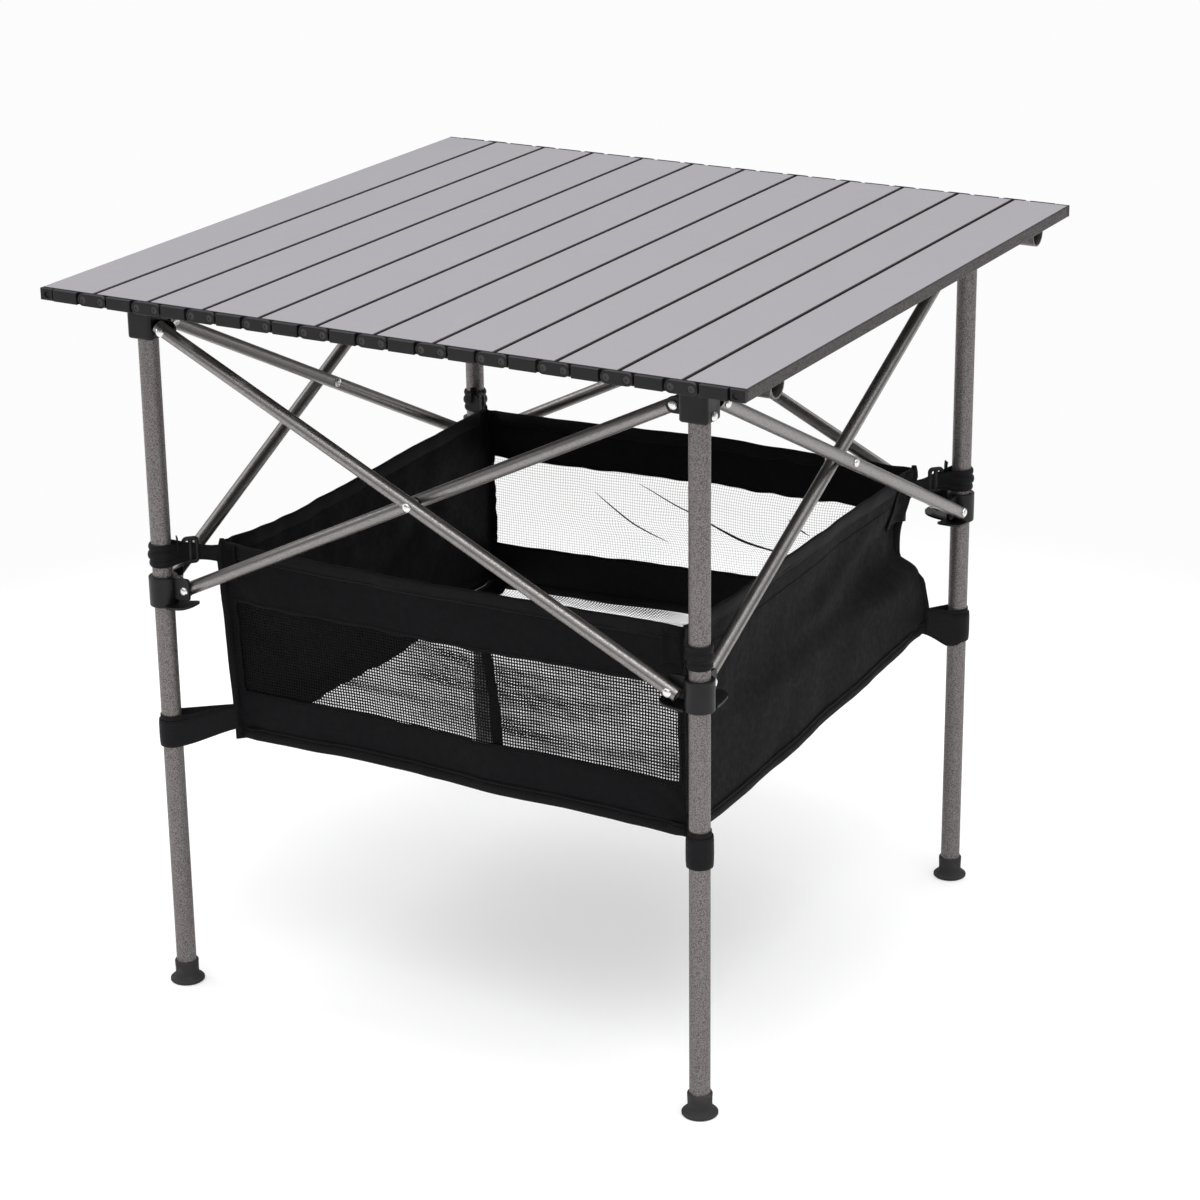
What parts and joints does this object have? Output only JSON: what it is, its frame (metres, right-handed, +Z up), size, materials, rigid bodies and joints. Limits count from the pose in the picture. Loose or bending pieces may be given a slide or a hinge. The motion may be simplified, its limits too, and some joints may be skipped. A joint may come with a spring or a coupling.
{
  "type": "folding camp kitchen table",
  "caption": "Square folding camp table with a roll-up slat top, a scissor frame on straight legs and a soft basket hung below the top.",
  "frame": {"origin": "on the ground under the centre of the top", "axes": "+Z up, +X along the front edge and across the slats, +Y towards the back, along the slats"},
  "size_m": [0.7, 0.7, 0.7],
  "materials": {
    "slat_coat": "fine matte powder coat over aluminium, light warm grey",
    "black_plastic": "moulded nylon, fine texture",
    "hammered_coat": "hammertone coat over steel tube, warm grey",
    "bar_coat": "glossy dark hammertone coat over steel tube",
    "rivet_steel": "bright zinc-plated dome rivets",
    "foot_rubber": "matte moulded rubber",
    "basket_cloth": "black woven polyester with mesh windows and webbing straps"
  },
  "bodies": {
    "leg_fl": {"leg_tube_fl": "hammered_coat", "leg_cap_fl": "black_plastic", "foot_fl": "foot_rubber", "basket_walls": "basket_cloth"},
    "leg_fr": {"leg_tube_fr": "hammered_coat", "leg_cap_fr": "black_plastic", "foot_fr": "foot_rubber"},
    "leg_br": {"leg_tube_br": "hammered_coat", "leg_cap_br": "black_plastic", "foot_br": "foot_rubber"},
    "leg_bl": {"leg_tube_bl": "hammered_coat", "leg_cap_bl": "black_plastic", "foot_bl": "foot_rubber"},
    "slider_fl": {"slider_fl": "black_plastic"},
    "slider_fr": {"slider_fr": "black_plastic"},
    "slider_br": {"slider_br": "black_plastic"},
    "slider_bl": {"slider_bl": "black_plastic"},
    "front_outer": {"bar_front_outer": "bar_coat", "rivets_front_outer": "rivet_steel"},
    "front_inner": {"bar_front_inner": "bar_coat", "rivets_front_inner": "rivet_steel"},
    "right_outer": {"bar_right_outer": "bar_coat", "rivets_right_outer": "rivet_steel"},
    "right_inner": {"bar_right_inner": "bar_coat", "rivets_right_inner": "rivet_steel"},
    "back_outer": {"bar_back_outer": "bar_coat", "rivets_back_outer": "rivet_steel"},
    "back_inner": {"bar_back_inner": "bar_coat", "rivets_back_inner": "rivet_steel"},
    "left_outer": {"bar_left_outer": "bar_coat", "rivets_left_outer": "rivet_steel"},
    "left_inner": {"bar_left_inner": "bar_coat", "rivets_left_inner": "rivet_steel"},
    "floor_front": {"basket_floor_front": "basket_cloth"},
    "floor_back": {"basket_floor_back": "basket_cloth"},
    "top": {"slat_12": "slat_coat", "crossbar_front": "hammered_coat", "crossbar_back": "hammered_coat"},
    "slat_01": {"slat_01": "slat_coat"},
    "slat_02": {"slat_02": "slat_coat"},
    "slat_03": {"slat_03": "slat_coat"},
    "slat_04": {"slat_04": "slat_coat"},
    "slat_05": {"slat_05": "slat_coat"},
    "slat_06": {"slat_06": "slat_coat"},
    "slat_07": {"slat_07": "slat_coat"},
    "slat_08": {"slat_08": "slat_coat"},
    "slat_09": {"slat_09": "slat_coat"},
    "slat_10": {"slat_10": "slat_coat"},
    "slat_11": {"slat_11": "slat_coat"},
    "link_01": {"link_01": "black_plastic"},
    "link_02": {"link_02": "black_plastic"},
    "link_03": {"link_03": "black_plastic"},
    "link_04": {"link_04": "black_plastic"},
    "link_05": {"link_05": "black_plastic"},
    "link_06": {"link_06": "black_plastic"},
    "link_07": {"link_07": "black_plastic"},
    "link_08": {"link_08": "black_plastic"},
    "link_09": {"link_09": "black_plastic"},
    "link_10": {"link_10": "black_plastic"},
    "link_11": {"link_11": "black_plastic"}
  },
  "joints": [
    {"name": "frame_fold", "type": "hinge", "parent": "leg_fl", "child": "front_outer", "pos_m": [-0.262, -0.28, 0.656], "axis": [0, 1, 0], "range_deg": [0, 60.6], "deforming": ["basket_walls", "basket_floor_front", "basket_floor_back"]},
    {"name": "front_cross", "type": "hinge", "parent": "front_outer", "child": "front_inner", "pos_m": [-0.006, -0.28, 0.5305], "axis": [0, 1, 0], "range_deg": [-121.2, 0]},
    {"name": "leg_fr_pivot", "type": "hinge", "parent": "front_inner", "child": "leg_fr", "pos_m": [0.25, -0.28, 0.656], "axis": [0, 1, 0], "range_deg": [0, 60.6]},
    {"name": "slider_fl_pivot", "type": "hinge", "parent": "front_inner", "child": "slider_fl", "pos_m": [-0.262, -0.28, 0.405], "axis": [0, 1, 0], "range_deg": [0, 60.6]},
    {"name": "slider_fr_pivot", "type": "hinge", "parent": "front_outer", "child": "slider_fr", "pos_m": [0.25, -0.28, 0.405], "axis": [0, 1, 0], "range_deg": [-60.6, 0]},
    {"name": "left_inner_pivot", "type": "hinge", "parent": "leg_fl", "child": "left_inner", "pos_m": [-0.286, -0.256, 0.656], "axis": [-1, 0, 0], "range_deg": [0, 60.6]},
    {"name": "left_cross", "type": "hinge", "parent": "left_inner", "child": "left_outer", "pos_m": [-0.286, 0, 0.5305], "axis": [-1, 0, 0], "range_deg": [-121.2, 0]},
    {"name": "leg_bl_pivot", "type": "hinge", "parent": "left_outer", "child": "leg_bl", "pos_m": [-0.286, 0.256, 0.656], "axis": [-1, 0, 0], "range_deg": [0, 60.6]},
    {"name": "slider_bl_pivot", "type": "hinge", "parent": "left_inner", "child": "slider_bl", "pos_m": [-0.286, 0.256, 0.405], "axis": [-1, 0, 0], "range_deg": [-60.6, 0]},
    {"name": "right_outer_pivot", "type": "hinge", "parent": "leg_fr", "child": "right_outer", "pos_m": [0.274, -0.256, 0.656], "axis": [-1, 0, 0], "range_deg": [0, 60.6]},
    {"name": "right_cross", "type": "hinge", "parent": "right_outer", "child": "right_inner", "pos_m": [0.274, 0, 0.5305], "axis": [-1, 0, 0], "range_deg": [-121.2, 0]},
    {"name": "leg_br_pivot", "type": "hinge", "parent": "right_inner", "child": "leg_br", "pos_m": [0.274, 0.256, 0.656], "axis": [-1, 0, 0], "range_deg": [0, 60.6]},
    {"name": "slider_br_pivot", "type": "hinge", "parent": "right_outer", "child": "slider_br", "pos_m": [0.274, 0.256, 0.405], "axis": [-1, 0, 0], "range_deg": [-60.6, 0]},
    {"name": "back_outer_pivot", "type": "hinge", "parent": "leg_br", "child": "back_outer", "pos_m": [0.25, 0.28, 0.656], "axis": [0, -1, 0], "range_deg": [0, 60.6]},
    {"name": "back_cross", "type": "hinge", "parent": "back_outer", "child": "back_inner", "pos_m": [-0.006, 0.28, 0.5305], "axis": [0, -1, 0], "range_deg": [-121.2, 0]},
    {"name": "floor_front_fold", "type": "hinge", "parent": "leg_fl", "child": "floor_front", "pos_m": [-0.006, -0.248, 0.257], "axis": [-1, 0, 0], "range_deg": [0, 90]},
    {"name": "floor_back_fold", "type": "hinge", "parent": "leg_bl", "child": "floor_back", "pos_m": [-0.006, 0.248, 0.257], "axis": [1, 0, 0], "range_deg": [0, 90]},
    {"name": "top_lift", "type": "slide", "parent": "leg_fl", "child": "top", "axis": [0, 0, 1], "range_m": [0, 0.1]},
    {"name": "top_roll", "type": "hinge", "parent": "top", "child": "link_11", "pos_m": [0.30233, 0, 0.6943], "axis": [0, 1, 0], "range_deg": [0, 23.5]},
    {"name": "slat_11_turn", "type": "hinge", "parent": "link_11", "child": "slat_11", "pos_m": [0.28333, 0, 0.6943], "axis": [0, 1, 0], "range_deg": [0, 23.5]},
    {"name": "link_10_turn", "type": "hinge", "parent": "slat_11", "child": "link_10", "pos_m": [0.24377, 0, 0.6943], "axis": [0, 1, 0], "range_deg": [0, 24.5]},
    {"name": "slat_10_turn", "type": "hinge", "parent": "link_10", "child": "slat_10", "pos_m": [0.22477, 0, 0.6943], "axis": [0, 1, 0], "range_deg": [0, 24.5]},
    {"name": "link_09_turn", "type": "hinge", "parent": "slat_10", "child": "link_09", "pos_m": [0.1852, 0, 0.6943], "axis": [0, 1, 0], "range_deg": [0, 25.5]},
    {"name": "slat_09_turn", "type": "hinge", "parent": "link_09", "child": "slat_09", "pos_m": [0.1662, 0, 0.6943], "axis": [0, 1, 0], "range_deg": [0, 25.5]},
    {"name": "link_08_turn", "type": "hinge", "parent": "slat_09", "child": "link_08", "pos_m": [0.12663, 0, 0.6943], "axis": [0, 1, 0], "range_deg": [0, 26.5]},
    {"name": "slat_08_turn", "type": "hinge", "parent": "link_08", "child": "slat_08", "pos_m": [0.10763, 0, 0.6943], "axis": [0, 1, 0], "range_deg": [0, 26.5]},
    {"name": "link_07_turn", "type": "hinge", "parent": "slat_08", "child": "link_07", "pos_m": [0.06807, 0, 0.6943], "axis": [0, 1, 0], "range_deg": [0, 28]},
    {"name": "slat_07_turn", "type": "hinge", "parent": "link_07", "child": "slat_07", "pos_m": [0.04907, 0, 0.6943], "axis": [0, 1, 0], "range_deg": [0, 28]},
    {"name": "link_06_turn", "type": "hinge", "parent": "slat_07", "child": "link_06", "pos_m": [0.0095, 0, 0.6943], "axis": [0, 1, 0], "range_deg": [0, 29.5]},
    {"name": "slat_06_turn", "type": "hinge", "parent": "link_06", "child": "slat_06", "pos_m": [-0.0095, 0, 0.6943], "axis": [0, 1, 0], "range_deg": [0, 29.5]},
    {"name": "link_05_turn", "type": "hinge", "parent": "slat_06", "child": "link_05", "pos_m": [-0.04907, 0, 0.6943], "axis": [0, 1, 0], "range_deg": [0, 31.5]},
    {"name": "slat_05_turn", "type": "hinge", "parent": "link_05", "child": "slat_05", "pos_m": [-0.06807, 0, 0.6943], "axis": [0, 1, 0], "range_deg": [0, 31.5]},
    {"name": "link_04_turn", "type": "hinge", "parent": "slat_05", "child": "link_04", "pos_m": [-0.10763, 0, 0.6943], "axis": [0, 1, 0], "range_deg": [0, 33.5]},
    {"name": "slat_04_turn", "type": "hinge", "parent": "link_04", "child": "slat_04", "pos_m": [-0.12663, 0, 0.6943], "axis": [0, 1, 0], "range_deg": [0, 33.5]},
    {"name": "link_03_turn", "type": "hinge", "parent": "slat_04", "child": "link_03", "pos_m": [-0.1662, 0, 0.6943], "axis": [0, 1, 0], "range_deg": [0, 36.5]},
    {"name": "slat_03_turn", "type": "hinge", "parent": "link_03", "child": "slat_03", "pos_m": [-0.1852, 0, 0.6943], "axis": [0, 1, 0], "range_deg": [0, 36.5]},
    {"name": "link_02_turn", "type": "hinge", "parent": "slat_03", "child": "link_02", "pos_m": [-0.22477, 0, 0.6943], "axis": [0, 1, 0], "range_deg": [0, 40.5]},
    {"name": "slat_02_turn", "type": "hinge", "parent": "link_02", "child": "slat_02", "pos_m": [-0.24377, 0, 0.6943], "axis": [0, 1, 0], "range_deg": [0, 40.5]},
    {"name": "link_01_turn", "type": "hinge", "parent": "slat_02", "child": "link_01", "pos_m": [-0.28333, 0, 0.6943], "axis": [0, 1, 0], "range_deg": [0, 46.5]},
    {"name": "slat_01_turn", "type": "hinge", "parent": "link_01", "child": "slat_01", "pos_m": [-0.30233, 0, 0.6943], "axis": [0, 1, 0], "range_deg": [0, 46.5]}
  ],
  "couplings": [
    {"joint": "front_cross", "follows": "frame_fold", "ratio": -2},
    {"joint": "leg_fr_pivot", "follows": "frame_fold", "ratio": 1},
    {"joint": "slider_fl_pivot", "follows": "frame_fold", "ratio": 1},
    {"joint": "slider_fr_pivot", "follows": "frame_fold", "ratio": -1},
    {"joint": "left_inner_pivot", "follows": "frame_fold", "ratio": 1},
    {"joint": "left_cross", "follows": "frame_fold", "ratio": -2},
    {"joint": "leg_bl_pivot", "follows": "frame_fold", "ratio": 1},
    {"joint": "slider_bl_pivot", "follows": "frame_fold", "ratio": -1},
    {"joint": "right_outer_pivot", "follows": "frame_fold", "ratio": 1},
    {"joint": "right_cross", "follows": "frame_fold", "ratio": -2},
    {"joint": "leg_br_pivot", "follows": "frame_fold", "ratio": 1},
    {"joint": "slider_br_pivot", "follows": "frame_fold", "ratio": -1},
    {"joint": "back_outer_pivot", "follows": "frame_fold", "ratio": 1},
    {"joint": "back_cross", "follows": "frame_fold", "ratio": -2},
    {"joint": "floor_front_fold", "follows": "frame_fold", "ratio": 1.485},
    {"joint": "floor_back_fold", "follows": "frame_fold", "ratio": 1.485},
    {"joint": "slat_11_turn", "follows": "top_roll", "ratio": 1},
    {"joint": "link_10_turn", "follows": "top_roll", "ratio": 1.0426},
    {"joint": "slat_10_turn", "follows": "top_roll", "ratio": 1.0426},
    {"joint": "link_09_turn", "follows": "top_roll", "ratio": 1.0851},
    {"joint": "slat_09_turn", "follows": "top_roll", "ratio": 1.0851},
    {"joint": "link_08_turn", "follows": "top_roll", "ratio": 1.1277},
    {"joint": "slat_08_turn", "follows": "top_roll", "ratio": 1.1277},
    {"joint": "link_07_turn", "follows": "top_roll", "ratio": 1.1915},
    {"joint": "slat_07_turn", "follows": "top_roll", "ratio": 1.1915},
    {"joint": "link_06_turn", "follows": "top_roll", "ratio": 1.2553},
    {"joint": "slat_06_turn", "follows": "top_roll", "ratio": 1.2553},
    {"joint": "link_05_turn", "follows": "top_roll", "ratio": 1.3404},
    {"joint": "slat_05_turn", "follows": "top_roll", "ratio": 1.3404},
    {"joint": "link_04_turn", "follows": "top_roll", "ratio": 1.4255},
    {"joint": "slat_04_turn", "follows": "top_roll", "ratio": 1.4255},
    {"joint": "link_03_turn", "follows": "top_roll", "ratio": 1.5532},
    {"joint": "slat_03_turn", "follows": "top_roll", "ratio": 1.5532},
    {"joint": "link_02_turn", "follows": "top_roll", "ratio": 1.7234},
    {"joint": "slat_02_turn", "follows": "top_roll", "ratio": 1.7234},
    {"joint": "link_01_turn", "follows": "top_roll", "ratio": 1.9787},
    {"joint": "slat_01_turn", "follows": "top_roll", "ratio": 1.9787}
  ]
}
